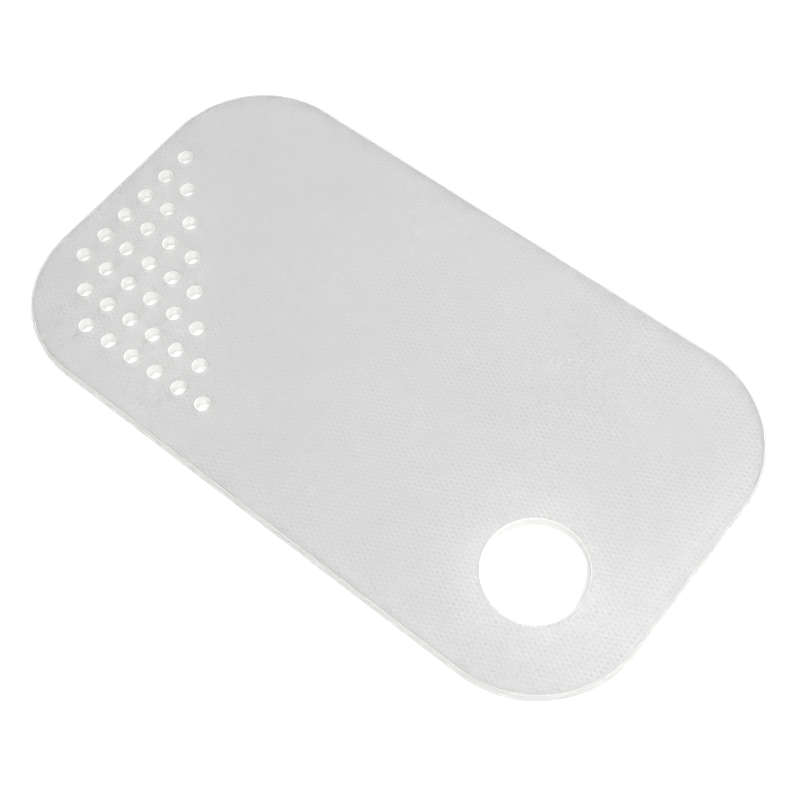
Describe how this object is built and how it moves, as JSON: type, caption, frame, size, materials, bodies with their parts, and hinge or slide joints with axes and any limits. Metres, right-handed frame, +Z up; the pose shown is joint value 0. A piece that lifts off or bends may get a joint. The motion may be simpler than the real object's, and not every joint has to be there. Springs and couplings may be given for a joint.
{
  "type": "flexible cutting mat",
  "caption": "Rounded rectangular translucent cutting mat with a round finger hole in one corner and a triangular field of drain holes in the next one.",
  "frame": {"origin": "middle of the underside, on the surface that the mat lies on", "axes": "+X along the length from the drain end to the finger-hole end, +Y across the width away from the long side next to the finger hole, +Z up out of the cutting face"},
  "size_m": [0.2286, 0.127, 0.0048],
  "materials": {
    "frosted_plastic": "frosted, translucent, with a fine raised dot texture"
  },
  "bodies": {
    "root": {"mat_sheet": "frosted_plastic"}
  },
  "joints": []
}
